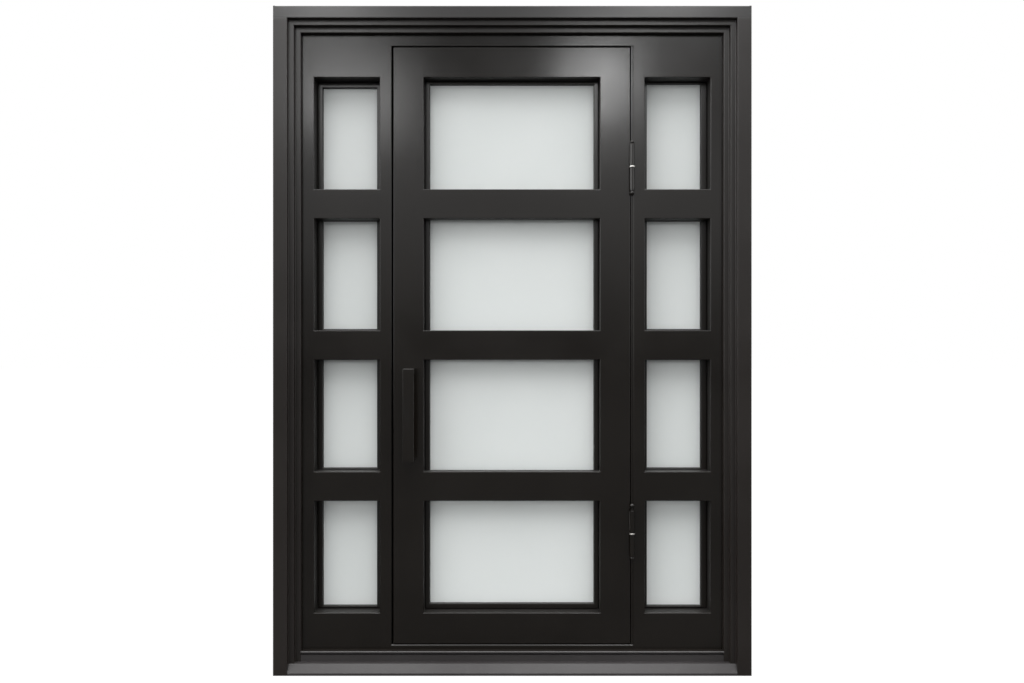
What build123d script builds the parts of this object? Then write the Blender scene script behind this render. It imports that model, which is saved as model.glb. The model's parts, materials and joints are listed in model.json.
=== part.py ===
from build123d import *
import os

# Wrought iron entrance: a stepped frame with two fixed sidelights and one leaf hinged on the right.
# Millimetres. +X to the viewer's right, +Y away from the viewer, +Z up from the floor.

# Frame: overall size, face widths and the two steps that lead in to the panels.
frame_width = 1744.0
frame_height = 2440.0
frame_depth = 150.0
jamb_face = 52.0
head_face = 44.0
step_width = 20.0
step_depth = 18.0
frame_round = 2.5

# Threshold: lip, bevelled nose, tread and a ledge with a half-round nosing over a drip groove.
sill_lip = 8.5
sill_tread = 37.0
lip_round = 2.0
ledge_height = 76.0
nosing_radius = 4.5
drip_height = 5.0
drip_depth = 8.0

# Door opening and leaf.
door_opening = 897.0
head_rail_height = 42.5
sill_rail_height = 16.5
sill_rail_round = 6.0
latch_gap = 7.0
hinge_gap = 10.5
leaf_top_gap = 3.5
leaf_bottom_gap = 3.0
leaf_thickness = 64.0
leaf_stile = 112.0
leaf_top_rail = 112.0
leaf_bottom_rail = 114.5
mid_rail = 109.0
lite_rows = 4
edge_round = 2.5

# Sidelights.
sidelight_thickness = 80.0
outer_stile = 44.0
inner_stile = 43.5

# Glazing: how far the sash sits behind the face, its bars and the panes.
leaf_reveal = 38.0
sidelight_reveal = 48.0
sash_thickness = 24.0
sash_quirk = 3.0
sash_quirk_depth = 8.0
sash_round = 1.5
leaf_sash_side = 18.3
leaf_sash_foot = 21.0
leaf_sash_head = 13.0
leaf_bar_cover = 5.0
left_sash_outer = 20.0
left_sash_inner = 18.7
left_sash_head = 22.0
right_sash_outer = 23.7
right_sash_inner = 16.0
right_sash_head = 6.5
side_sash_foot = 9.0
side_bar_above = 5.0
side_bar_below = 1.0
pane_thickness = 9.0
pane_setback = 12.0

# Stops behind the leaf.
stop_gap = 6.0
stop_thickness = 10.0
stop_lap = 8.0

# Liner that fills the hinge side of the opening, cut out for the hinges.
liner_gap = 2.5
liner_setback = 1.5
liner_round = 1.5
liner_cutout = 2.0

# Barrel hinges.
barrel_radius = 9.0
barrel_length = 82.0
barrel_proud = 1.0
barrel_round = 1.0
barrel_cap = 8.0
button_radius = 8.0
button_seat = 6.0
pin_radius = 5.0
pin_clearance = 0.05
washer_radius = 10.5
washer_thickness = 5.0
washer_clearance = 0.3
washer_round = 1.2
collar_radius = 8.0
collar_height = 4.0
neck_radius = 4.5
upper_neck = 2.0
lower_neck = 8.0
ball_radius = 8.5
ball_seat = 6.8
tab_thickness = 4.0
tab_depth = 36.0
tab_inset = 8.0
tab_start = 0.5
upper_washer_z = 1861.5
lower_washer_z = 504.0

# Pull handles.
pull_width = 40.0
pull_length = 338.5
pull_bar = 15.0
pull_projection = 65.0
pull_round = 2.0
pull_inset = 63.5
pull_middle_z = 949.0

# Margin by which a cutting shape runs past what it cuts, and the closeness that counts as one level.
cut_margin = 1.0
same_level = 0.01

# Levels that follow from the sizes above.
front_y = -frame_depth / 2
back_y = frame_depth / 2
half_width = frame_width / 2
panel_y = front_y + 3 * step_depth
half_opening = half_width - jamb_face - 2 * step_width
panel_top = frame_height - head_face - 2 * step_width
half_door = door_opening / 2
leaf_low_x = -half_door + latch_gap
leaf_high_x = half_door - hinge_gap
opening_low_z = ledge_height + sill_rail_height
opening_high_z = panel_top - head_rail_height
leaf_low_z = opening_low_z + leaf_bottom_gap
leaf_high_z = opening_high_z - leaf_top_gap
lites_low_z = leaf_low_z + leaf_bottom_rail
lites_high_z = leaf_high_z - leaf_top_rail
lite_height = (lites_high_z - lites_low_z - (lite_rows - 1) * mid_rail) / lite_rows
lite_bottoms = [lites_low_z + row * (lite_height + mid_rail) for row in range(lite_rows)]
leaf_back_y = panel_y + leaf_thickness
hinge_x = half_door - hinge_gap / 2
hinge_y = panel_y - barrel_radius - barrel_proud

os.makedirs("parts", exist_ok=True)


def keep(name, part):
    """Name a finished piece and write it to its own file."""
    part.label = name
    export_step(part, f"parts/{name}.step")


def block(x_low, x_high, y_low, y_high, z_low, z_high, mode=Mode.ADD):
    """A box between two opposite corners."""
    centre = ((x_low + x_high) / 2, (y_low + y_high) / 2, (z_low + z_high) / 2)
    with Locations(centre):
        Box(x_high - x_low, y_high - y_low, z_high - z_low, mode=mode)


def stepped_outline(face):
    """Section of the frame from its outer edge inwards: flat face, two steps, then the inner wall."""
    inner = face + 2 * step_width
    return [
        (0, front_y),
        (face, front_y),
        (face, front_y + step_depth),
        (face + step_width, front_y + step_depth),
        (face + step_width, front_y + 2 * step_depth),
        (inner, front_y + 2 * step_depth),
        (inner, back_y),
        (0, back_y),
    ]


def nosings(part, axis):
    """The long edges where the front face and the two steps turn, outwards and inwards."""
    levels = [front_y + step * step_depth for step in range(3)]
    chosen = ShapeList()
    for edge in part.edges().filter_by(axis):
        if any(abs(edge.center().Y - level) < same_level for level in levels):
            chosen.append(edge)
    return chosen


# Threshold, cut to the steps of the jambs at its ends.
ledge_y = front_y + 2 * step_depth
with BuildPart() as threshold:
    with BuildSketch(Plane.YZ):
        with BuildLine():
            Polyline(
                (front_y, 0),
                (back_y, 0),
                (back_y, ledge_height),
                (ledge_y, ledge_height),
                (ledge_y, sill_tread),
                (front_y + step_depth, sill_tread),
                (front_y, sill_lip),
                close=True,
            )
        make_face()
    extrude(amount=half_opening + 2 * step_width, both=True)
    front_edges = threshold.edges().filter_by(Axis.X).group_by(Axis.Y)[0]
    fillet(front_edges.sort_by(Axis.Z)[-1], lip_round)
    for side in (-1, 1):
        first = side * (half_opening + step_width)
        last = side * (half_opening + 2 * step_width)
        step_low = min(first, last)
        step_high = max(first, last)
        block(step_low, step_high, front_y + step_depth, back_y, 0, ledge_height, Mode.SUBTRACT)
        inner_low = min(side * half_opening, first)
        inner_high = max(side * half_opening, first)
        block(inner_low, inner_high, ledge_y, back_y, 0, ledge_height, Mode.SUBTRACT)
    with BuildSketch(Plane.YZ):
        with Locations((ledge_y, ledge_height - nosing_radius)):
            Circle(nosing_radius)
    extrude(amount=half_opening, both=True)
    drip_top = ledge_height - 2 * nosing_radius
    drip_back = ledge_y + drip_depth
    drip_front = ledge_y - nosing_radius
    block(-half_opening, half_opening, drip_front, drip_back, drip_top - drip_height, drip_top, Mode.SUBTRACT)

# Mitre planes run at 45 degrees through the inner top corners of the frame.
mitre_offset = panel_top - half_opening


def jamb(side):
    """One upright of the frame, cut to the mitre at the top and standing round the threshold's end."""
    outline = [(side * (x - half_width), y) for x, y in stepped_outline(jamb_face)]
    with BuildPart() as upright:
        with BuildSketch(Plane.XY):
            with BuildLine():
                Polyline(*outline, close=True)
            make_face()
        extrude(amount=frame_height)
        fillet(nosings(upright, Axis.Z), frame_round)
        inner_reach = half_opening - step_width
        with BuildSketch(Plane.XZ.offset(-front_y + cut_margin)):
            with BuildLine():
                Polyline(
                    (side * -inner_reach, inner_reach + mitre_offset),
                    (side * -(frame_height + cut_margin - mitre_offset), frame_height + cut_margin),
                    (side * -inner_reach, frame_height + cut_margin),
                    close=True,
                )
            make_face()
        extrude(amount=-(frame_depth + 2 * cut_margin), mode=Mode.SUBTRACT)
        add(threshold.part, mode=Mode.SUBTRACT)
    return upright.part


with BuildPart() as frame_head:
    outline = [(y, frame_height - z) for z, y in stepped_outline(head_face)]
    with BuildSketch(Plane.YZ):
        with BuildLine():
            Polyline(*outline, close=True)
        make_face()
    extrude(amount=half_width, both=True)
    fillet(nosings(frame_head, Axis.X), frame_round)
    with BuildSketch(Plane.XZ.offset(-front_y + cut_margin)):
        with BuildLine():
            Polyline(
                (-(half_opening - 2 * step_width), half_opening - 2 * step_width + mitre_offset),
                (-(frame_height + cut_margin - mitre_offset), frame_height + cut_margin),
                (frame_height + cut_margin - mitre_offset, frame_height + cut_margin),
                (half_opening - 2 * step_width, half_opening - 2 * step_width + mitre_offset),
                close=True,
            )
        make_face()
    extrude(amount=-(frame_depth + 2 * cut_margin), mode=Mode.INTERSECT)

keep("threshold", threshold.part)
keep("jamb_left", jamb(1))
keep("jamb_right", jamb(-1))
keep("frame_head", frame_head.part)


def cut_lites(lite_low, lite_high):
    """One column of lites, taken out of the sketch of a panel."""
    centres = [((lite_low + lite_high) / 2, bottom + lite_height / 2) for bottom in lite_bottoms]
    with Locations(*centres):
        Rectangle(lite_high - lite_low, lite_height, mode=Mode.SUBTRACT)


def open_behind(lite_low, lite_high, reveal, thickness):
    """Room for the sash behind the middle rails of one column of lites."""
    near = panel_y + reveal
    far = panel_y + thickness
    block(lite_low, lite_high, near, far, lites_low_z, lites_high_z, Mode.SUBTRACT)


def portion(whole, x_low, x_high, z_low, z_high):
    """The part of a panel or sash that lies between the given limits."""
    with BuildPart() as slice_of:
        add(whole)
        block(x_low, x_high, front_y, back_y, z_low, z_high, Mode.INTERSECT)
    return slice_of.part


def pane_limits(foot, head, bar_above, bar_below):
    """Bottom and top of each pane: the border at both ends, the bars of the sash above and below a rail."""
    limits = []
    for row, bottom in enumerate(lite_bottoms):
        top = bottom + lite_height
        low = bottom + foot if row == 0 else bottom + bar_above
        high = top - head if row == lite_rows - 1 else top - bar_below
        limits.append((low, high))
    return limits


def glaze(name, lite_low, lite_high, reveal, low_border, high_border, rows):
    """Write the sash and the panes of one panel: a slim border with cross bars, stepped back at the panel."""
    sash_y = panel_y + reveal
    inner_low = lite_low + low_border
    inner_high = lite_high - high_border
    middle = ((lite_low + lite_high) / 2, (lites_low_z + lites_high_z) / 2)
    width = lite_high - lite_low
    height = lites_high_z - lites_low_z
    with BuildPart() as sash:
        with BuildSketch(Plane.XZ.offset(-sash_y)):
            with Locations(middle):
                Rectangle(width - 2 * sash_quirk, height - 2 * sash_quirk)
        extrude(amount=-sash_thickness)
        with BuildSketch(Plane.XZ.offset(-(sash_y + sash_quirk_depth))):
            with Locations(middle):
                Rectangle(width, height)
        extrude(amount=-(sash_thickness - sash_quirk_depth))
        for low, high in rows:
            block(inner_low, inner_high, sash_y, sash_y + sash_thickness, low, high, Mode.SUBTRACT)
        fillet(sash.faces().sort_by(Axis.Y)[0].edges(), sash_round)
    with BuildPart() as sash_stiles:
        add(portion(sash.part, lite_low, inner_low, lites_low_z, lites_high_z))
        add(portion(sash.part, inner_high, lite_high, lites_low_z, lites_high_z))
    keep(f"{name}_sash_stiles", sash_stiles.part)
    keep(f"{name}_sash_bars", portion(sash.part, inner_low, inner_high, lites_low_z, lites_high_z))
    with BuildPart() as panes:
        for low, high in rows:
            near = sash_y + pane_setback
            block(inner_low, inner_high, near, near + pane_thickness, low, high)
    keep(f"{name}_glass", panes.part)


# Fixed surround: both sidelights and the rails over and under the leaf share one face round the opening.
outer_lite = half_opening - outer_stile
inner_lite = half_door + inner_stile
with BuildPart() as surround:
    with BuildSketch(Plane.XZ.offset(-panel_y)):
        with Locations((0, (ledge_height + panel_top) / 2)):
            Rectangle(2 * half_opening, panel_top - ledge_height)
        with Locations((0, (opening_low_z + opening_high_z) / 2)):
            Rectangle(door_opening, opening_high_z - opening_low_z, mode=Mode.SUBTRACT)
        cut_lites(-outer_lite, -inner_lite)
        cut_lites(inner_lite, outer_lite)
    extrude(amount=-sidelight_thickness)
    turned_edges = ShapeList()
    for ring in surround.faces().sort_by(Axis.Y)[0].inner_wires():
        for edge in ring.edges():
            if abs(edge.center().Z - opening_low_z) > same_level:
                turned_edges.append(edge)
    fillet(turned_edges, edge_round)
    with BuildSketch(Plane.YZ):
        with BuildLine():
            Line((panel_y, opening_low_z - sill_rail_round), (panel_y, opening_low_z))
            Line((panel_y, opening_low_z), (panel_y + sill_rail_round, opening_low_z))
            RadiusArc(
                (panel_y + sill_rail_round, opening_low_z),
                (panel_y, opening_low_z - sill_rail_round),
                -sill_rail_round,
            )
        make_face()
    extrude(amount=half_door, both=True, mode=Mode.SUBTRACT)
    open_behind(-outer_lite, -inner_lite, sidelight_reveal, sidelight_thickness)
    open_behind(inner_lite, outer_lite, sidelight_reveal, sidelight_thickness)

left_borders = (left_sash_outer, left_sash_inner)
right_borders = (right_sash_inner, right_sash_outer)
for name, side, borders, head_border in (
    ("left", -1, left_borders, left_sash_head),
    ("right", 1, right_borders, right_sash_head),
):
    edges = sorted((side * half_opening, side * outer_lite))
    keep(f"{name}_sidelight_outer_stile", portion(surround.part, *edges, ledge_height, panel_top))
    edges = sorted((side * inner_lite, side * half_door))
    keep(f"{name}_sidelight_inner_stile", portion(surround.part, *edges, ledge_height, panel_top))
    edges = sorted((side * outer_lite, side * inner_lite))
    keep(f"{name}_sidelight_rails", portion(surround.part, *edges, ledge_height, panel_top))
    rows = pane_limits(side_sash_foot, head_border, side_bar_above, side_bar_below)
    glaze(f"{name}_sidelight", *edges, sidelight_reveal, *borders, rows)

keep("door_head_rail", portion(surround.part, -half_door, half_door, opening_high_z, panel_top))
keep("door_sill_rail", portion(surround.part, -half_door, half_door, ledge_height, opening_low_z))

# Stops that the leaf closes against, all flush with the back of the sidelights.
stop_front_y = leaf_back_y + stop_gap
stop_back_y = stop_front_y + stop_thickness

with BuildPart() as door_stop_sides:
    block(-half_door, leaf_low_x + stop_lap, stop_front_y, stop_back_y, opening_low_z, opening_high_z)
    block(leaf_high_x - stop_lap, half_door, stop_front_y, stop_back_y, opening_low_z, opening_high_z)

with BuildPart() as door_stop_ends:
    near_x = leaf_low_x + stop_lap
    far_x = leaf_high_x - stop_lap
    block(near_x, far_x, stop_front_y, stop_back_y, opening_low_z, leaf_low_z + stop_lap)
    block(near_x, far_x, stop_front_y, stop_back_y, leaf_high_z - stop_lap, opening_high_z)

keep("door_stop_sides", door_stop_sides.part)
keep("door_stop_ends", door_stop_ends.part)

# Leaf.
leaf_low_lite = leaf_low_x + leaf_stile
leaf_high_lite = leaf_high_x - leaf_stile
with BuildPart() as leaf:
    with BuildSketch(Plane.XZ.offset(-panel_y)):
        with Locations(((leaf_low_x + leaf_high_x) / 2, (leaf_low_z + leaf_high_z) / 2)):
            Rectangle(leaf_high_x - leaf_low_x, leaf_high_z - leaf_low_z)
        cut_lites(leaf_low_lite, leaf_high_lite)
    extrude(amount=-leaf_thickness)
    fillet(leaf.faces().sort_by(Axis.Y)[0].edges(), edge_round)
    open_behind(leaf_low_lite, leaf_high_lite, leaf_reveal, leaf_thickness)

keep("leaf_lock_stile", portion(leaf.part, leaf_low_x, leaf_low_lite, leaf_low_z, leaf_high_z))
keep("leaf_hinge_stile", portion(leaf.part, leaf_high_lite, leaf_high_x, leaf_low_z, leaf_high_z))
keep("leaf_bottom_rail", portion(leaf.part, leaf_low_lite, leaf_high_lite, leaf_low_z, lites_low_z))
keep("leaf_top_rail", portion(leaf.part, leaf_low_lite, leaf_high_lite, lites_high_z, leaf_high_z))
keep("leaf_mid_rails", portion(leaf.part, leaf_low_lite, leaf_high_lite, lites_low_z, lites_high_z))
leaf_rows = pane_limits(leaf_sash_foot, leaf_sash_head, -leaf_bar_cover, -leaf_bar_cover)
glaze("leaf", leaf_low_lite, leaf_high_lite, leaf_reveal, leaf_sash_side, leaf_sash_side, leaf_rows)


def pull(face_y, outwards):
    """A flat-bar pull bent back to the stile at both ends."""
    pull_x = leaf_low_x + pull_inset
    low_z = pull_middle_z - pull_length / 2
    high_z = pull_middle_z + pull_length / 2
    tip_y = face_y + outwards * pull_projection
    inner_y = tip_y - outwards * pull_bar
    with BuildPart() as handle:
        near = min(face_y, tip_y)
        far = max(face_y, tip_y)
        block(pull_x - pull_width / 2, pull_x + pull_width / 2, near, far, low_z, high_z)
        gap_near = min(face_y, inner_y)
        gap_far = max(face_y, inner_y)
        block(
            pull_x - pull_width / 2,
            pull_x + pull_width / 2,
            gap_near,
            gap_far,
            low_z + pull_bar,
            high_z - pull_bar,
            Mode.SUBTRACT,
        )
        tip_face = handle.faces().filter_by(Axis.Y).sort_by(Axis.Y)[0 if outwards < 0 else -1]
        fillet(tip_face.edges(), pull_round)
    return handle.part


keep("pull_outside", pull(panel_y, -1))
keep("pull_inside", pull(leaf_back_y, 1))


def barrel(low_z, bore_low_z, bore_high_z, tab_side, closed_end):
    """A hinge barrel with its bore, the tab welded into the gap beside it, and a button on its closed end."""
    bore_radius = pin_radius + pin_clearance
    edge_x = leaf_high_x if tab_side < 0 else half_door
    tab_low_x = min(edge_x, edge_x - tab_side * tab_thickness)
    tab_high_x = max(edge_x, edge_x - tab_side * tab_thickness)
    high_z = low_z + barrel_length
    with BuildPart() as knuckle:
        with BuildSketch(Plane.XY.offset(low_z)):
            with Locations((hinge_x, hinge_y)):
                Circle(barrel_radius)
        extrude(amount=barrel_length)
        fillet(knuckle.edges().filter_by(GeomType.CIRCLE), barrel_round)
        tab_near = hinge_y + bore_radius + tab_start
        tab_far = panel_y + tab_depth
        block(tab_low_x, tab_high_x, tab_near, tab_far, low_z + tab_inset, high_z - tab_inset)
        if closed_end:
            button_z = high_z + button_seat if closed_end > 0 else low_z - button_seat
            with Locations((hinge_x, hinge_y, button_z)):
                Sphere(button_radius)
        with BuildSketch(Plane.XY.offset(bore_low_z)):
            with Locations((hinge_x, hinge_y)):
                Circle(bore_radius)
        extrude(amount=bore_high_z - bore_low_z, mode=Mode.SUBTRACT)
    return knuckle.part


def washer(low_z):
    """The bearing washer between two barrels."""
    with BuildPart() as ring:
        with BuildSketch(Plane.XY.offset(low_z)):
            with Locations((hinge_x, hinge_y)):
                Circle(washer_radius)
                Circle(pin_radius + pin_clearance, mode=Mode.SUBTRACT)
        extrude(amount=washer_thickness)
        fillet(ring.edges().filter_by(GeomType.CIRCLE).group_by(SortBy.RADIUS)[-1], washer_round)
    return ring.part


def pin(shank_low_z, shank_high_z, head_z, upwards, neck):
    """A hinge pin with a collar, neck and ball at one end, turned about its own axis."""
    collar_z = head_z + upwards * collar_height
    ball_z = collar_z + upwards * (neck + ball_seat)
    with BuildPart() as turned:
        with BuildSketch(Plane.XY.offset(shank_low_z)):
            with Locations((hinge_x, hinge_y)):
                Circle(pin_radius)
        extrude(amount=shank_high_z - shank_low_z)
        with BuildSketch(Plane.XY.offset(min(head_z, collar_z))):
            with Locations((hinge_x, hinge_y)):
                Circle(collar_radius)
        extrude(amount=collar_height)
        with BuildSketch(Plane.XY.offset(min(head_z, ball_z))):
            with Locations((hinge_x, hinge_y)):
                Circle(neck_radius)
        extrude(amount=abs(ball_z - head_z))
        with Locations((hinge_x, hinge_y, ball_z)):
            Sphere(ball_radius)
    return turned.part


# Upper hinge: pin driven up from below, leaf barrel closed at the top.
upper_leaf_z = upper_washer_z + washer_thickness + washer_clearance
upper_frame_z = upper_washer_z - barrel_length
upper_pin_top = upper_leaf_z + barrel_length - barrel_cap - washer_clearance
keep("upper_hinge_frame_barrel", barrel(upper_frame_z, upper_frame_z, upper_washer_z, 1, 0))
keep("upper_hinge_leaf_barrel", barrel(upper_leaf_z, upper_leaf_z, upper_pin_top + washer_clearance, -1, 1))
keep("upper_hinge_washer", washer(upper_washer_z))
keep("upper_hinge_pin", pin(upper_frame_z, upper_pin_top, upper_frame_z, -1, upper_neck))

# Lower hinge: pin dropped in from above, frame barrel closed at the bottom.
lower_leaf_z = lower_washer_z + washer_thickness + washer_clearance
lower_frame_z = lower_washer_z - barrel_length
lower_leaf_top = lower_leaf_z + barrel_length
lower_head_z = lower_leaf_top + washer_clearance
keep("lower_hinge_frame_barrel", barrel(lower_frame_z, lower_frame_z + barrel_cap, lower_washer_z, 1, -1))
keep("lower_hinge_leaf_barrel", barrel(lower_leaf_z, lower_leaf_z, lower_leaf_top, -1, 0))
keep("lower_hinge_washer", washer(lower_washer_z))
keep("lower_hinge_pin", pin(lower_frame_z + barrel_cap, lower_head_z, lower_head_z, 1, lower_neck))

# Liner on the hinge side, in three lengths between the hinges.
liner_runs = [
    (opening_low_z, lower_frame_z - liner_cutout),
    (lower_leaf_top + liner_cutout, upper_frame_z - liner_cutout),
    (upper_leaf_z + barrel_length + liner_cutout, opening_high_z),
]
with BuildPart() as hinge_jamb_liner:
    for low, high in liner_runs:
        block(leaf_high_x + liner_gap, half_door, panel_y + liner_setback, stop_front_y, low, high)
    front_corners = hinge_jamb_liner.edges().filter_by(Axis.Z).group_by(Axis.Y)[0]
    fillet(front_corners, liner_round)

keep("hinge_jamb_liner", hinge_jamb_liner.part)
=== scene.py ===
# %% [markdown]
# # A wrought iron entrance
# This lesson dresses a imported CAD model: a stepped iron frame, two fixed sidelights and one leaf that
# swings on barrel hinges. The rigid pieces come from CAD as they are. Blender gives them their finishes
# and adds the thin trim that a door maker fits last: weather seal, glazing beads, sealant, screws and
# weld beads. First the frame is loaded.

# %% Load the frame
import bpy
import json
import numpy as np
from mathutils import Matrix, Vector


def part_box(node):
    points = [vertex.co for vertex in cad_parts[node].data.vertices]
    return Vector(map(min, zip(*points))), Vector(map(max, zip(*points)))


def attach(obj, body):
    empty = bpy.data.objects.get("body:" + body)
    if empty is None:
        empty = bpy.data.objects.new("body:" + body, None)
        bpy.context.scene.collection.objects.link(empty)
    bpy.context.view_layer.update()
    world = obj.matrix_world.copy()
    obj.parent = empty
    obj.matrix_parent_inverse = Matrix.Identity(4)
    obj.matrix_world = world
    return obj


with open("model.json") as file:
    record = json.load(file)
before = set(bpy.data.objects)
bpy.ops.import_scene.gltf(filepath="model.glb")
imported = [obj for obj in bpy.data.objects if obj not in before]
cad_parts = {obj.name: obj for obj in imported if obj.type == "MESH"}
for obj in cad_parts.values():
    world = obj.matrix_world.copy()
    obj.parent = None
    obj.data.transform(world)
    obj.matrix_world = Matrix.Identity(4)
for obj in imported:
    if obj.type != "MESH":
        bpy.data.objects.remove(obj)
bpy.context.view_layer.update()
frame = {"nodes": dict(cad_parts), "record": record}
nodes = frame["nodes"]

# %% [markdown]
# ## Camera
# The photograph looks straight at the door from a little under three metres, at the middle of its height,
# so upright edges stay upright. Such a view could be made by tilting a higher camera and correcting the
# lines with lens shift. Putting the camera level with the middle of the door needs no shift at all.

# %% Camera
image_width = 1024
focal_pixels = 755.4
sensor_width = 36.0
camera_distance = 2.75
camera_height = 1.2174
camera_aside = -0.0011

front_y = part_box("jamb_left")[0].y
camera = bpy.data.objects.new("camera", bpy.data.cameras.new("camera"))
bpy.context.scene.collection.objects.link(camera)
camera.data.sensor_width = sensor_width
camera.data.lens = focal_pixels / image_width * sensor_width
camera.location = (camera_aside, front_y - camera_distance, camera_height)
camera.rotation_euler = (np.pi / 2, 0, 0)
bpy.context.scene.camera = camera
bpy.context.scene.view_settings.view_transform = "Standard"
print("lens", round(camera.data.lens, 2), "mm")

# %% [markdown]
# ## Shader nodes
# The world, the floor and every finish are built from the same few nodes. They could be wired one by one
# in the editor. Small helpers keep each finish short enough to read: one makes a node, the others make a
# smooth step, a mask between two levels, a sum or product, and a mix of two tones or two values.

# %% Shader helpers
# Socket numbers of Blender's Mix node, which has one set for values and one for colours.
mix_factor, mix_values, mix_tones = 0, (2, 3), (6, 7)
mixed_value, mixed_tone = 0, 2


def add_node(tree, kind, inputs=None, **settings):
    """A new shader node: settings are its own properties, inputs its socket values or links."""
    node = tree.nodes.new(kind)
    for name, value in settings.items():
        setattr(node, name, value)
    for name, value in (inputs or {}).items():
        if isinstance(value, bpy.types.NodeSocket):
            tree.links.new(value, node.inputs[name])
        else:
            node.inputs[name].default_value = value
    return node


def ramp(tree, value, start, end, low=0.0, high=1.0):
    """A smooth step from low to high while value goes from start to end."""
    limits = {"Value": value, "From Min": start, "From Max": end, "To Min": low, "To Max": high}
    return add_node(tree, "ShaderNodeMapRange", limits, interpolation_type="SMOOTHSTEP").outputs[0]


def join(tree, operation, first, second):
    """Two values put together by one step of arithmetic."""
    return add_node(tree, "ShaderNodeMath", {0: first, 1: second}, operation=operation).outputs[0]


def between(tree, value, rise, fall):
    """A mask that steps up over the rise and down again over the fall, each a start and an end."""
    return join(tree, "MULTIPLY", ramp(tree, value, *rise), ramp(tree, value, *fall))


def blend_tone(tree, factor, first, second):
    """A colour between first and second by a factor from 0 to 1."""
    tones = [tone if isinstance(tone, bpy.types.NodeSocket) else (*tone, 1) for tone in (first, second)]
    inputs = {mix_factor: factor, **dict(zip(mix_tones, tones))}
    return add_node(tree, "ShaderNodeMix", inputs, data_type="RGBA").outputs[mixed_tone]


def blend_value(tree, factor, first, second):
    """A number between first and second by a factor from 0 to 1."""
    inputs = {mix_factor: factor, **dict(zip(mix_values, (first, second)))}
    return add_node(tree, "ShaderNodeMix", inputs).outputs[mixed_value]


def axes(tree, place):
    """The X, Y and Z of a place, as three sockets."""
    return add_node(tree, "ShaderNodeSeparateXYZ", {"Vector": place}).outputs


def noise(tree, place, scale, detail):
    """Cloudy noise from 0 to 1: scale is how many clouds fit in a metre, detail how finely they break up."""
    inputs = {"Vector": place, "Scale": scale, "Detail": detail}
    return add_node(tree, "ShaderNodeTexNoise", inputs).outputs["Fac"]


print("helpers for shader nodes: node, ramp, sum or product, mask, tone, value, axes, noise")

# %% [markdown]
# ## Studio
# A dark satin object is lit by what it mirrors. Its flat faces mirror only a narrow cone behind the
# camera, so that cone is left dim, with one soft band low in it for the middle rails. The sides and the
# space overhead are bright: they light the glass from above and draw fine pale lines along every rounded
# edge. Behind the door everything is white. One painted world with a few smooth ramps does this with less
# to place than a ring of cards. The directions below are parts of a unit vector: 1 is straight up or
# straight to the side.

# %% World
front_dim = 0.02
front_band = 1.05
overhead_light = 6.3
left_light = 3.4
right_light = 1.3

band_rise_span = (-0.04, 0.20)
band_fall_span = (0.20, 0.36)
above_band_share = 0.25
overhead_span = (0.55, 1.0)
left_span = (-0.35, -1.0)
right_span = (0.35, 1.0)
behind_span = (-0.05, 0.35)

world = bpy.data.worlds.new("studio")
bpy.context.scene.world = world
world.use_nodes = True
sky = world.node_tree
sky.nodes.clear()
towards = axes(sky, add_node(sky, "ShaderNodeTexCoord").outputs["Generated"])
band_rise = ramp(sky, towards["Z"], *band_rise_span, 0.0, front_band)
band_fall = ramp(sky, towards["Z"], *band_fall_span, 1.0, above_band_share)
low_front = join(sky, "ADD", join(sky, "MULTIPLY", band_rise, band_fall), front_dim)
top = ramp(sky, towards["Z"], *overhead_span, 0.0, overhead_light)
left = ramp(sky, towards["X"], *left_span, 0.0, left_light)
right = ramp(sky, towards["X"], *right_span, 0.0, right_light)
sides = join(sky, "MAXIMUM", left, right)
studio_light = join(sky, "ADD", low_front, join(sky, "MAXIMUM", top, sides))
behind = ramp(sky, towards["Y"], *behind_span)
rays = add_node(sky, "ShaderNodeLightPath").outputs
white_share = join(sky, "MAXIMUM", behind, rays["Is Camera Ray"])
seen_light = blend_value(sky, white_share, studio_light, 1.0)
background = add_node(sky, "ShaderNodeBackground", {"Color": (1, 1, 1, 1), "Strength": seen_light})
add_node(sky, "ShaderNodeOutputWorld", {"Surface": background.outputs[0]})
print("world: front", front_dim, "overhead", overhead_light, "left", left_light, "right", right_light)

# %% [markdown]
# ## Soft boxes
# Four soft boxes hang high in the dim cone. The lower two draw the pale patches at the top of the left
# sidelight and of the hinge stile, and the upper two those on the frame's head. They could be bright
# patches in the world, but a lamp's size and place are easier to move. They are hidden from diffuse rays,
# so the paint mirrors them and the glass keeps the even light of the world.


# %% Soft boxes
def soft_box(name, place, target, size, power):
    """An area light at a place, turned to face a target, which only mirrored rays can see."""
    lamp = bpy.data.lights.new(name, "AREA")
    lamp.shape = "RECTANGLE"
    lamp.size, lamp.size_y = size
    lamp.energy = power
    holder = bpy.data.objects.new(name, lamp)
    bpy.context.scene.collection.objects.link(holder)
    holder.location = place
    holder.rotation_euler = (Vector(target) - Vector(place)).to_track_quat("-Z", "Y").to_euler()
    holder.visible_diffuse = False
    print(name, "at", place, "power", power)


box_y = -3.3
upper_box_z = 4.25
upper_box_size = (0.55, 0.40)
upper_box_power = 17
aim_left = (-0.2, 0.0, 1.3)
aim_right = (0.2, 0.0, 1.3)

soft_box("soft_box_left", (-1.30, box_y, 3.19), aim_left, (0.80, 0.50), 11)
soft_box("upper_box_left", (-1.56, box_y, upper_box_z), aim_left, upper_box_size, upper_box_power)
soft_box("upper_box_right", (1.34, box_y, upper_box_z), aim_right, upper_box_size, upper_box_power)
soft_box("soft_box_right", (0.68, box_y, 3.295), aim_right, (0.44, 0.44), 13)

# %% [markdown]
# ## Floor
# The floor is a wide pale sheet. Lighting it until it is white would put more light on the door as well,
# so most of its white is a glow that the camera sees, and the glass, and the paint where it mirrors the
# floor behind the door. To all other rays it is a dim matt floor. The matt share also takes the door's
# shadow.


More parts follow.
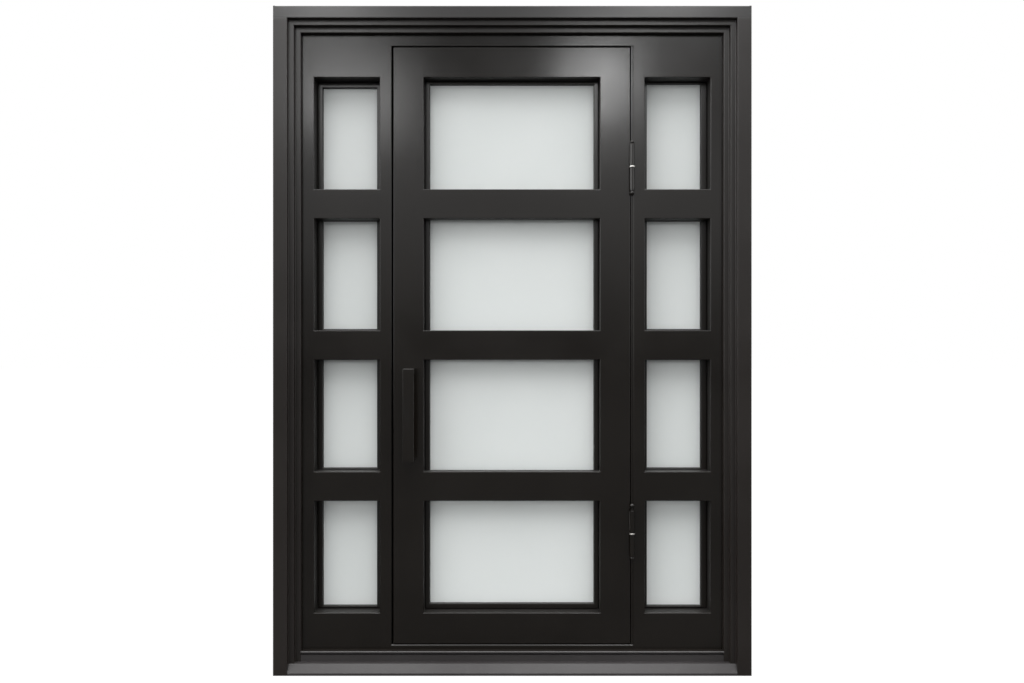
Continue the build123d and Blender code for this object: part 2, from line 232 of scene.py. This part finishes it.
# %% Floor sheet
def mesh_piece(name, points, faces):
    """A new object from an array of points and a list of faces, each a list of point numbers."""
    mesh = bpy.data.meshes.new(name)
    mesh.from_pydata(np.asarray(points, float).reshape(-1, 3).tolist(), [], faces)
    mesh.update()
    piece = bpy.data.objects.new(name, mesh)
    bpy.context.scene.collection.objects.link(piece)
    return piece


floor_reach = 30.0

corners = np.array([(-1, -1, 0), (1, -1, 0), (1, 1, 0), (-1, 1, 0)]) * floor_reach
floor = mesh_piece("floor", corners, [[0, 1, 2, 3]])
print("floor", 2 * floor_reach, "m square")

# %% Floor finish
floor_grey = 0.10
floor_pale = 0.85
floor_white_share = 0.93
floor_behind_span = (-0.1, 0.3)

floor_paint = bpy.data.materials.new("pale_floor")
floor_paint.use_nodes = True
tree = floor_paint.node_tree
tree.nodes.clear()
rays = add_node(tree, "ShaderNodeLightPath").outputs
floor_tone = blend_tone(tree, rays["Is Camera Ray"], (floor_grey,) * 3, (floor_pale,) * 3)
matt = add_node(tree, "ShaderNodeBsdfDiffuse", {"Color": floor_tone})
glow = add_node(tree, "ShaderNodeEmission", {"Color": (1, 1, 1, 1), "Strength": 1.0})
spot = axes(tree, add_node(tree, "ShaderNodeNewGeometry").outputs["Position"])
mirrored = join(tree, "MULTIPLY", rays["Is Glossy Ray"], ramp(tree, spot["Y"], *floor_behind_span))
through_glass = join(tree, "MAXIMUM", rays["Is Transmission Ray"], mirrored)
seen = join(tree, "MAXIMUM", rays["Is Camera Ray"], through_glass)
share = join(tree, "MULTIPLY", seen, floor_white_share)
surface = add_node(tree, "ShaderNodeMixShader", {0: share, 1: matt.outputs[0], 2: glow.outputs[0]})
add_node(tree, "ShaderNodeOutputMaterial", {"Surface": surface.outputs[0]})
floor.data.materials.append(floor_paint)
print("floor glow", floor_white_share, "matt", floor_grey)

# %% [markdown]
# ## Paint
# The iron is sprayed with satin black. Up close such a coat has a slow drift of tone and gloss from pass
# to pass, and a fine orange-peel texture. An image texture could show this, but noise on Object
# coordinates has no seams and runs on from one welded piece to the next, as paint does.

# %% Paint
paint_sheen = 0.42
pass_scale, pass_detail = 3.0, 4.0
pass_span = (0.35, 0.65)
gloss_drift = 0.02
spray_scale, spray_detail = 650.0, 2.0
spray_strength = 0.10
spray_depth = 0.0004


def start_material(name):
    """A new material with an empty node tree, its Principled shader and Object coordinates."""
    material = bpy.data.materials.new(name)
    material.use_nodes = True
    tree = material.node_tree
    tree.nodes.clear()
    shader = add_node(tree, "ShaderNodeBsdfPrincipled")
    add_node(tree, "ShaderNodeOutputMaterial", {"Surface": shader.outputs[0]})
    place = add_node(tree, "ShaderNodeTexCoord").outputs["Object"]
    return material, tree, shader, place


def add_grain(tree, shader, height, strength, depth):
    """Fine relief on a shader: a height from 0 to 1, depth metres from low to high."""
    bump = add_node(tree, "ShaderNodeBump", {"Height": height, "Strength": strength, "Distance": depth})
    tree.links.new(bump.outputs[0], shader.inputs["Normal"])


def satin_black(name, dark, light, roughness, change=None):
    """Satin black paint: slow drift of tone and gloss, fine spray, and a change where a mask says so."""
    material, tree, shader, place = start_material(name)
    cloud = noise(tree, place, pass_scale, pass_detail)
    tone = blend_tone(tree, ramp(tree, cloud, *pass_span), dark, light)
    gloss = ramp(tree, cloud, *pass_span, roughness - gloss_drift, roughness + gloss_drift)
    if change:
        amount, changed_tone, changed_roughness = change(tree, place)
        tone = blend_tone(tree, amount, tone, changed_tone)
        gloss = blend_value(tree, amount, gloss, changed_roughness)
    tree.links.new(tone, shader.inputs["Base Color"])
    tree.links.new(gloss, shader.inputs["Roughness"])
    shader.inputs["Specular IOR Level"].default_value = paint_sheen
    add_grain(tree, shader, noise(tree, place, spray_scale, spray_detail), spray_strength, spray_depth)
    print("paint", name, "roughness", round(roughness, 2))
    return material


paint_dark = (0.0058, 0.0044, 0.0032)
paint_light = (0.0077, 0.0061, 0.0047)
paint_roughness = 0.21
sash_roughness = 0.30
hinge_roughness = 0.18

sash_paint = satin_black("sash_paint", paint_dark, paint_light, sash_roughness)
hinge_paint = satin_black("hinge_paint", paint_dark, paint_light, hinge_roughness)

# %% [markdown]
# ## Painted light in the recesses and on the head
# Behind the rounded edges of the stiles and rails the faces are painted paler and duller: painted light,
# so those recesses look lit. The face over the door is painted a pale grey with more gloss: a painted
# highlight. Separate materials on those faces could show it. A mask from the depth or the height fades
# from one tone to the other.

# %% Panel paint
recess_span = (0.002, 0.006)
# The recess tone is painted light: faces behind the panel face are painted paler so they look lit.
recess_painted_light_tone = (0.0128, 0.0115, 0.0104)
recess_roughness = 0.48

panel_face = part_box("leaf_lock_stile")[0].y


def recess_painted_light(tree, place):
    """Painted light behind the rounded edges of the panel face: a paler, duller coat that grows with the
    depth behind it.
    """
    start, end = recess_span
    depth = axes(tree, place)["Y"]
    return ramp(tree, depth, panel_face + start, panel_face + end), recess_painted_light_tone, recess_roughness


black_paint = satin_black("black_paint", paint_dark, paint_light, paint_roughness, recess_painted_light)

# %% Frame paint
frame_dark = (0.0122, 0.0096, 0.0083)
frame_light = (0.0150, 0.0122, 0.0108)
frame_roughness = 0.31
head_span = (0.055, 0.035)
face_span = (0.006, 0.001)
# The head tone is a painted highlight: the face over the door is painted pale grey where light falls on it.
head_painted_highlight_tone = (0.042, 0.0408, 0.0405)
head_roughness = 0.25

frame_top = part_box("frame_head")[1].z


def head_painted_highlight(tree, place):
    """Painted highlight on the face over the door: a mask by height, times one by depth."""
    spot = axes(tree, place)
    high = ramp(tree, spot["Z"], *(frame_top - down for down in head_span))
    facing = ramp(tree, spot["Y"], *(front_y + back for back in face_span))
    return join(tree, "MULTIPLY", high, facing), head_painted_highlight_tone, head_roughness


frame_paint = satin_black("frame_paint", frame_dark, frame_light, frame_roughness, head_painted_highlight)

# %% [markdown]
# ## Worn paint
# Feet rub the nose of the threshold and hands rub the pull, so there the coat is thinner, a little paler
# and uneven in gloss. The top of the ledge under the leaf is given the black of the panels. A
# painted map could mark this. Masks from the height above the floor, broken up by noise, need no map and
# stay on the right edge of each piece.

# %% Threshold paint
sill_dark = (0.0318, 0.0291, 0.0294)
sill_light = (0.0398, 0.0367, 0.0371)
sill_roughness = 0.32
scuff_rise, scuff_fall = (0.004, 0.011), (0.039, 0.018)
scuff_scale, scuff_detail = 38.0, 7.0
scuff_span, scuff_most = (0.48, 0.72), 0.45
scuff_tone = (0.048, 0.046, 0.045)
scuff_roughness = 0.44
ledge_depth_span = (-0.0035, 0.0005)
ledge_height_span = (-0.004, -0.001)

step_depth = (panel_face - front_y) / 3
ledge_edge = front_y + 2 * step_depth
ledge_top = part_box("threshold")[1].z


def nose_wear(tree, place):
    """Rubbed patches between the lip and the tread, and panel black on the top of the ledge."""
    spot = axes(tree, place)
    scuffs = noise(tree, place, scuff_scale, scuff_detail)
    nose = between(tree, spot["Z"], scuff_rise, scuff_fall)
    rubbed = join(tree, "MULTIPLY", nose, ramp(tree, scuffs, *scuff_span, 0.0, scuff_most))
    deep = ramp(tree, spot["Y"], *(ledge_edge + back for back in ledge_depth_span))
    high = ramp(tree, spot["Z"], *(ledge_top + up for up in ledge_height_span))
    ledge = join(tree, "MULTIPLY", deep, high)
    tone = blend_tone(tree, ledge, scuff_tone, paint_dark)
    return join(tree, "MAXIMUM", rubbed, ledge), tone, scuff_roughness


sill_paint = satin_black("sill_paint", sill_dark, sill_light, sill_roughness, nose_wear)

# %% Pull paint
grip_rise, grip_fall = (0.83, 0.92), (1.07, 0.98)
streak_scale, streak_detail = (90.0, 90.0, 9.0), 3.0
streak_span, streak_most = (0.45, 0.7), 0.6
grip_tone = (0.011, 0.0105, 0.010)
grip_roughness = 0.19


def grip_wear(tree, place):
    """Finger polish along the middle of the bar, in long soft streaks: noise stretched along the height."""
    grip = between(tree, axes(tree, place)["Z"], grip_rise, grip_fall)
    stretched = add_node(tree, "ShaderNodeMapping", {"Vector": place, "Scale": streak_scale}).outputs[0]
    rubbed = ramp(tree, noise(tree, stretched, 1.0, streak_detail), *streak_span, 0.0, streak_most)
    return join(tree, "MULTIPLY", grip, rubbed), grip_tone, grip_roughness


pull_paint = satin_black("pull_paint", paint_dark, paint_light, paint_roughness, grip_wear)

# %% [markdown]
# ## Frosted glass
# The panes are frosted: a milky sheet, a little green, which glows with what is behind it and takes soft
# shadows from its deep surround. Clear glass with a rough surface would show the room behind as a blur.
# Scattering most of the light at the surface and passing about a fifth keeps the pale, even look.

# %% Frosted glass
milk_dark = (0.806, 0.840, 0.830)
milk_light = (0.834, 0.864, 0.855)
milk_scale, milk_detail = 2.2, 2.0
milk_span = (0.3, 0.7)
glass_passing = 0.20
glass_roughness = 0.55
glass_bending = 1.45
frost_scale, frost_detail = 900.0, 2.0
frost_strength = 0.08
frost_depth = 0.0003


def milky_glass(name):
    """Milky glass: most light is scattered back, some passes through, with a fine ground texture."""
    material, tree, shader, place = start_material(name)
    cloud = noise(tree, place, milk_scale, milk_detail)
    milk = blend_tone(tree, ramp(tree, cloud, *milk_span), milk_dark, milk_light)
    tree.links.new(milk, shader.inputs["Base Color"])
    shader.inputs["Transmission Weight"].default_value = glass_passing
    shader.inputs["Roughness"].default_value = glass_roughness
    shader.inputs["IOR"].default_value = glass_bending
    add_grain(tree, shader, noise(tree, place, frost_scale, frost_detail), frost_strength, frost_depth)
    print("glass", name, "passing", glass_passing)
    return material


frosted_glass = milky_glass("frosted_glass")

# %% [markdown]
# ## Bare steel
# The washers between the hinge barrels are bare steel, turned bright, with fine rings round the pin. The
# rings could be cut into the mesh, but at a hair's width they show only as a change of gloss. A wave of
# the distance from the hinge pin draws them.

# %% Bare steel
steel_dark = (0.60, 0.58, 0.55)
steel_light = (0.70, 0.68, 0.65)
steel_roughness_span = (0.22, 0.32)
ring_scale = 260.0
ring_wander = 1.5


def turned_steel(name, axis_x, axis_y):
    """Bright steel with fine rings round an upright axis: the ring tone is a wave of the distance from it."""
    material, tree, shader, place = start_material(name)
    aside = (-axis_x, -axis_y, 0.0)
    centred = add_node(tree, "ShaderNodeMapping", {"Vector": place, "Location": aside}).outputs[0]
    wave = {"Vector": centred, "Scale": ring_scale, "Distortion": ring_wander}
    rings = add_node(tree, "ShaderNodeTexWave", wave, wave_type="RINGS", rings_direction="Z").outputs["Fac"]
    tree.links.new(blend_tone(tree, rings, steel_dark, steel_light), shader.inputs["Base Color"])
    tree.links.new(ramp(tree, rings, 0.0, 1.0, *steel_roughness_span), shader.inputs["Roughness"])
    shader.inputs["Metallic"].default_value = 1.0
    print("steel", name, "rings round", round(axis_x, 4), round(axis_y, 4))
    return material


pin_low, pin_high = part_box("lower_hinge_washer")
bearing_steel = turned_steel("bearing_steel", (pin_low.x + pin_high.x) / 2, (pin_low.y + pin_high.y) / 2)

# %% [markdown]
# ## Rubber and sealant
# Seals are dull black rubber with a powdery bloom, and the sealant round the panes is black with a soft
# sheen and small tool marks. Two materials wired by hand could show it. One function with its own grain
# size for each compound is shorter and keeps them alike.

# %% Rubber and sealant
compound_span = (0.3, 0.7)
compound_drift = 0.06
compound_detail = 3.0
compound_strength = 0.25


def soft_black(name, dark, light, roughness, grain_scale, grain_depth):
    """A dull black compound: cloudy tone, uneven sheen and a grain of its own size."""
    material, tree, shader, place = start_material(name)
    grain = noise(tree, place, grain_scale, compound_detail)
    sheen = ramp(tree, grain, *compound_span, roughness - compound_drift, roughness + compound_drift)
    tree.links.new(blend_tone(tree, grain, dark, light), shader.inputs["Base Color"])
    tree.links.new(sheen, shader.inputs["Roughness"])
    add_grain(tree, shader, grain, compound_strength, grain_depth)
    print("compound", name, "roughness", roughness)
    return material


seal_rubber = soft_black("seal_rubber", (0.008, 0.008, 0.008), (0.016, 0.016, 0.015),
                         roughness=0.72, grain_scale=220.0, grain_depth=0.0004)
sealant = soft_black("glazing_sealant", (0.010, 0.010, 0.010), (0.018, 0.018, 0.017),
                     roughness=0.42, grain_scale=60.0, grain_depth=0.0006)

# %% [markdown]
# ## Dress the CAD pieces
# On the real door each piece is sprayed, glazed or left bare in the workshop. The record names the finish
# of every CAD node, so one loop gives each node its material. Picking them by hand would have to be done
# again after each change to the model.

# %% Dress the CAD nodes
finishes = {
    "black_paint": black_paint,
    "frame_paint": frame_paint,
    "sash_paint": sash_paint,
    "sill_paint": sill_paint,
    "hinge_paint": hinge_paint,
    "pull_paint": pull_paint,
    "frosted_glass": frosted_glass,
    "bearing_steel": bearing_steel,
    "seal_rubber": seal_rubber,
    "glazing_sealant": sealant,
}
for part in frame["record"]["subparts"]:
    node = nodes[part["node"]]
    node.data.materials.clear()
    node.data.materials.append(finishes[part["material_slot"]])

# %% [markdown]
# ## A strip round a rectangle
# Seals, beads and sealant are all the same idea: a small section carried round a rectangle with mitred
# corners. A curve with a bevel could make it, but the section would twist at the corners. Working the
# points out gives true mitres: every point of the section makes its own rectangle, larger or smaller by
# its offset.

# %% Strip helper
rectangle = np.array([(0, 0), (1, 0), (1, 1), (0, 1)])


def strip_points(low, high, section):
    """Points of mitred strips, as an array [strip, corner, section point, xyz].

    low and high hold one opposite pair of corners (x, z) for each strip. A section point (inset, y) makes the
    rectangle that lies inset from those corners, at depth y.
    """
    low = np.asarray(low, float)[:, None, None, :]
    high = np.asarray(high, float)[:, None, None, :]
    inset = section[None, None, :, :1]
    flat = np.where(rectangle[None, :, None, :] == 0, low + inset, high - inset)
    depth = np.broadcast_to(section[None, None, :, 1:], flat.shape[:3] + (1,))
    return np.concatenate([flat[..., :1], depth, flat[..., 1:]], axis=-1)


def strip_faces(strips, around):
    """Faces of closed strips: each joins a section point and the next, at a corner and the next."""
    corners = len(rectangle)
    counts = np.arange(strips), np.arange(corners), np.arange(around)
    strip, corner, point = np.meshgrid(*counts, indexing="ij")
    here = strip * corners * around + corner * around
    ahead = strip * corners * around + (corner + 1) % corners * around
    following = (point + 1) % around
    faces = np.stack([here + point, ahead + point, ahead + following, here + following], axis=-1)
    return faces.reshape(-1, 4)


print("a square section round one pane has", len(strip_faces(1, 4)), "faces")


# %% Trim helper
def enclosed(points, faces):
    """Volume inside the faces, by summing the wedges between each triangle and the origin."""
    a, b, c, d = (points.reshape(-1, 3)[faces[:, side]] for side in range(4))
    wedges = np.einsum("ij,ij->i", a, np.cross(b, c)) + np.einsum("ij,ij->i", a, np.cross(c, d))
    return wedges.sum() / 6


def fit_piece(piece, body, slot):
    """The last steps for an added piece: its finish, picked by slot name, and the body that it rides on."""
    piece.data.materials.append(finishes[slot])
    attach(piece, body)
    print(piece.name, "rides", body, "faces", len(piece.data.polygons))


def trim_strips(name, low, high, section, body, slot):
    """Strips of one section round one or more rectangles, as one piece with its faces turned outwards."""
    points = strip_points(low, high, section)
    faces = strip_faces(len(low), len(section))
    if enclosed(points, faces) < 0:
        faces = faces[:, ::-1]
    fit_piece(mesh_piece(name, points, faces.tolist()), body, slot)


print("trim takes one of", len(finishes), "finishes")

# %% [markdown]
# ## Weather seal
# Behind the leaf a rubber bulb sits on the stops, all the way round, and the leaf presses against it. The
# bulb could be a round tube sunk into the stops. It is a flat foot with a half round on it, so its
# section is an arc and a chord, and nothing is hidden in the iron.

# %% Weather seal
seal_half_width = 0.0028
seal_clear = 0.0004
seal_points = 14

stop_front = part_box("door_stop_sides")[0].y
leaf_low, leaf_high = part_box("leaf_lock_stile")[0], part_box("leaf_hinge_stile")[1]
stop_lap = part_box("door_stop_ends")[0].x - leaf_low.x
bulb_height = stop_front - leaf_high.y - seal_clear
angle = np.linspace(0, np.pi, seal_points)
inset = stop_lap / 2 + seal_half_width * np.cos(angle)
bulb = np.stack([inset, stop_front - bulb_height * np.sin(angle)], axis=-1)
leaf_corners = [(leaf_low.x, leaf_low.z)], [(leaf_high.x, leaf_high.z)]
trim_strips("weather_seal", *leaf_corners, bulb, "frame", "seal_rubber")

# %% [markdown]
# ## Panes
# Each pane lies in its sash with a line of sealant round its front, and on the room side a bevelled bead
# holds it. The panes could be listed again here by their sizes. Reading them from the CAD glass is safer:
# every pane is one block there, so grouping its corners by height gives the openings, and the trim
# follows the glass wherever the CAD puts it.

# %% Pane openings
same_level_digits = 5


def pane_boxes(node):
    """Low and high corners (x, z) of each pane of a glass node, and the depths of its front and back.

    Heights of all points are sorted; they come in pairs, the bottom and the top of each pane.
    """
    mesh = nodes[node].data
    spots = np.empty(len(mesh.vertices) * 3)
    mesh.vertices.foreach_get("co", spots)
    spots = spots.reshape(-1, 3)
    levels = np.unique(np.round(spots[:, 2], same_level_digits))
    bottoms, tops = levels[0::2], levels[1::2]
    x_low, x_high = spots[:, 0].min(), spots[:, 0].max()
    low = np.stack([np.full_like(bottoms, x_low), bottoms], axis=-1)
    high = np.stack([np.full_like(tops, x_high), tops], axis=-1)
    return low, high, spots[:, 1].min(), spots[:, 1].max()


panels = {"leaf": "leaf", "left_sidelight": "frame", "right_sidelight": "frame"}
panes = {panel: pane_boxes(f"{panel}_glass") for panel in panels}
for panel, (low, high, pane_front, pane_back) in panes.items():
    print(panel, len(low), "panes", np.round(high[0] - low[0], 4), "front", round(pane_front, 4))

# %% [markdown]
# ## Sealant
# A glazier draws a fingertip along the wet sealant, which leaves a small hollow cove between the glass
# and the sash. A flat bevel would be simpler but catches light as a hard line, so the section is a
# quarter circle that curves inwards.

# %% Sealant
sealant_leg = 0.0014
sealant_points = 7

angle = np.linspace(0, np.pi / 2, sealant_points)
cove = sealant_leg * (1 - np.stack([np.sin(angle), np.cos(angle)], axis=-1))
for panel, body in panels.items():
    low, high, pane_front, pane_back = panes[panel]
    arc = np.stack([cove[:, 0], pane_front - cove[:, 1]], axis=-1)
    section = np.concatenate([[(0.0, pane_front)], arc])
    trim_strips(f"{panel}_sealant", low, high, section, body, "glazing_sealant")

# %% [markdown]
# ## Glazing beads
# On the room side a flat bar with one bevelled edge is screwed round each pane, so that a broken pane can
# be changed. A plain box with a bevel modifier could stand for it. Five points of its real section,
# carried round the pane, give the bevel on the pane's side only.

# %% Glazing beads
bead_width = 0.011
bead_proud = 0.0045
bead_bevel = 0.0035

for panel, body in panels.items():
    low, high, pane_front, pane_back = panes[panel]
    top_y = pane_back + bead_proud
    bead = np.array([(0.0, pane_back), (0.0, top_y), (bead_width - bead_bevel, top_y),
                     (bead_width, top_y - bead_bevel), (bead_width, pane_back)])
    trim_strips(f"{panel}_glazing_beads", low, high, bead, body, "sash_paint")

# %% [markdown]
# ## Screws
# Small round-headed screws hold the beads, about a hand apart. A sphere cut in half would do, but there
# are dozens of them. Each head is a low dome of a few rings instead: a quarter ellipse turned about its
# own axis.


# %% Screw heads
def ring_faces(start, rings, around):
    """Four-sided faces between rings of points, for grids of points that begin at the numbers in start."""
    counts = np.arange(rings - 1), np.arange(around)
    grid, ring, turn = np.meshgrid(start, *counts, indexing="ij")
    here = grid + ring * around
    following = (turn + 1) % around
    above = here + around
    faces = np.stack([here + turn, here + following, above + following, above + turn], axis=-1)
    return faces.reshape(-1, 4)


def dome_points(centres, radius, height, rings, around):
    """Low domes facing +Y at the centres: rings of a quarter ellipse, from the rim to the crown."""
    lift = np.linspace(0, np.pi / 2, rings, endpoint=False)[:, None]
    angle = np.linspace(0, 2 * np.pi, around, endpoint=False)
    x = radius * np.cos(lift) * np.cos(angle)
    z = radius * np.cos(lift) * np.sin(angle)
    y = np.broadcast_to(height * np.sin(lift), x.shape)
    return np.asarray(centres)[:, None, None, :] + np.stack([x, y, z], axis=-1)[None]


def dome_faces(count, rings, around):
    """Faces between the rings of each dome; the crown and the foot are closed by one many-sided face each."""
    start = np.arange(count) * rings * around
    crown = start[:, None] + (rings - 1) * around + np.arange(around)
    foot = start[:, None] + np.arange(around)[::-1]
    sides = ring_faces(start, rings, around)
    return sides[:, ::-1].tolist() + crown[:, ::-1].tolist() + foot[:, ::-1].tolist()


screw_radius = 0.0026
screw_height = 0.0013
screw_rings = 3
screw_around = 10
print("one screw head has", len(dome_faces(1, screw_rings, screw_around)), "faces")

# %% Bead screws
screw_pitch = 0.18
screw_margin = 0.035
screw_inset = (bead_width - bead_bevel) / 2


def spread(start, end):
    """Evenly spaced places between two ends, a margin in from each, about a pitch apart."""
    count = max(2, int(round((end - start - 2 * screw_margin) / screw_pitch)) + 1)
    return np.linspace(start + screw_margin, end - screw_margin, count)


def screw_places(low, high, y):
    """Centres of the screws round one pane, in the flat of its bead."""
    across, upright = spread(low[0], high[0]), spread(low[1], high[1])
    rows = [np.stack([across, np.full_like(across, y), np.full_like(across, z)], axis=-1)
            for z in (low[1] + screw_inset, high[1] - screw_inset)]
    columns = [np.stack([np.full_like(upright, x), np.full_like(upright, y), upright], axis=-1)
               for x in (low[0] + screw_inset, high[0] - screw_inset)]
    return np.concatenate(rows + columns)


for panel, body in panels.items():
    low, high, pane_front, pane_back = panes[panel]
    centres = np.concatenate([screw_places(a, b, pane_back + bead_proud) for a, b in zip(low, high)])
    points = dome_points(centres, screw_radius, screw_height, screw_rings, screw_around)
    faces = dome_faces(len(centres), screw_rings, screw_around)
    fit_piece(mesh_piece(f"{panel}_bead_screws", points, faces), body, "sash_paint")
    print(panel, len(centres), "screws")

# %% [markdown]
# ## Weld beads
# The hinge barrels are welded along their length, to the leaf on one side and to the frame on the other.
# A weld is laid in small overlapping puddles, which a bump texture could hint at. Here the bead is a tube
# whose radius swells and shrinks along its length, with ripples that lean over: a function of height and
# angle shows this with a little over a thousand faces.

# %% Weld helper
weld_pitch = 0.0042
weld_radius = 0.0027
weld_swell = 0.18
weld_lean = 0.25
weld_end_share = 0.05
weld_end_least = 0.02
weld_steps = 110
weld_around = 12


def weld_points(x, y, z_low, z_high):
    """A rippled upright tube: the radius dips in a wave of the height that leans with the angle."""
    height = np.linspace(0, 1, weld_steps)[:, None]
    angle = np.linspace(0, 2 * np.pi, weld_around, endpoint=False)[None, :]
    z = z_low + (z_high - z_low) * height
    puddle = np.abs(np.sin(np.pi * (z / weld_pitch + weld_lean * np.cos(angle))))
    taper = np.sqrt(np.clip(np.minimum(height, 1 - height) / weld_end_share, weld_end_least, 1))
    swell = weld_radius * taper * (1 - weld_swell + weld_swell * puddle)
    grid = [x + swell * np.cos(angle), y + swell * np.sin(angle), np.broadcast_to(z, swell.shape)]
    return np.stack(grid, axis=-1)


def weld_faces():
    """Faces between the rings of the tube, with its two ends closed by one many-sided face each."""
    ring = np.arange(weld_around)
    ends = [ring[::-1].tolist(), ((weld_steps - 1) * weld_around + ring).tolist()]
    return ring_faces([0], weld_steps, weld_around).tolist() + ends


print("one weld bead has", len(weld_faces()), "faces")

# %% Weld beads
weld_margin = 0.005
weld_in = 0.0018
weld_back = 0.0012

weld_lines = {"leaf": leaf_high.x - weld_in, "frame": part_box("right_sidelight_inner_stile")[0].x + weld_in}
for hinge in ("upper", "lower"):
    for body, weld_x in weld_lines.items():
        low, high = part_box(f"{hinge}_hinge_{body}_barrel")
        points = weld_points(weld_x, leaf_low.y - weld_back, low.z + weld_margin, high.z - weld_margin)
        fit_piece(mesh_piece(f"{hinge}_hinge_{body}_weld", points, weld_faces()), body, "hinge_paint")
